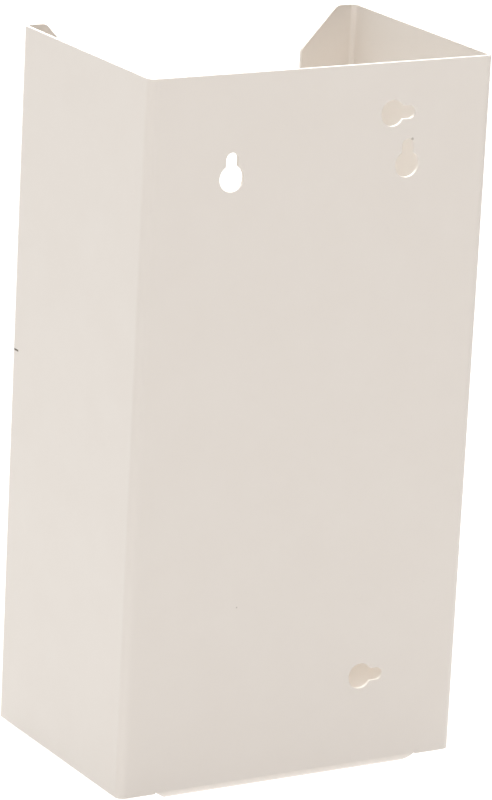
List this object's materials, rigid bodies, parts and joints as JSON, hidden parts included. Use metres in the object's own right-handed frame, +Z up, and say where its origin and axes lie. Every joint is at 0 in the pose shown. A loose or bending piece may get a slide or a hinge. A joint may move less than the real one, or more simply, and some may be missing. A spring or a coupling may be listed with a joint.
{
  "type": "wall-hung waste bin",
  "caption": "Tall open-topped sheet-metal pocket bin, hung on a wall by keyholes, with chamfered front flanges, a bottom flap and a low riveted front sill.",
  "frame": {"origin": "underside of the bottom flap, under the middle of the shell's width and depth, rivet heads included", "axes": "+Z up along the height, +Y to the wall, -Y to the front, +X to the right seen from the front"},
  "size_m": [0.1596, 0.1103, 0.3029],
  "materials": {
    "powder_coat": "satin cream-white powder coat with a fine orange-peel texture and sparse dark specks",
    "rivet_aluminium": "plain, lightly drawn",
    "mandrel_steel": "zinc plated, broken end"
  },
  "bodies": {
    "root": {"folded_shell": "powder_coat", "front_sill": "powder_coat", "rivet_left_1": "rivet_aluminium", "rivet_left_2": "rivet_aluminium", "rivet_right_1": "rivet_aluminium", "rivet_right_2": "rivet_aluminium", "rivet_floor_1": "rivet_aluminium", "rivet_floor_2": "rivet_aluminium", "rivet_floor_3": "rivet_aluminium", "mandrel_left_1": "mandrel_steel", "mandrel_left_2": "mandrel_steel", "mandrel_right_1": "mandrel_steel", "mandrel_right_2": "mandrel_steel", "mandrel_floor_1": "mandrel_steel", "mandrel_floor_2": "mandrel_steel", "mandrel_floor_3": "mandrel_steel"}
  },
  "joints": []
}
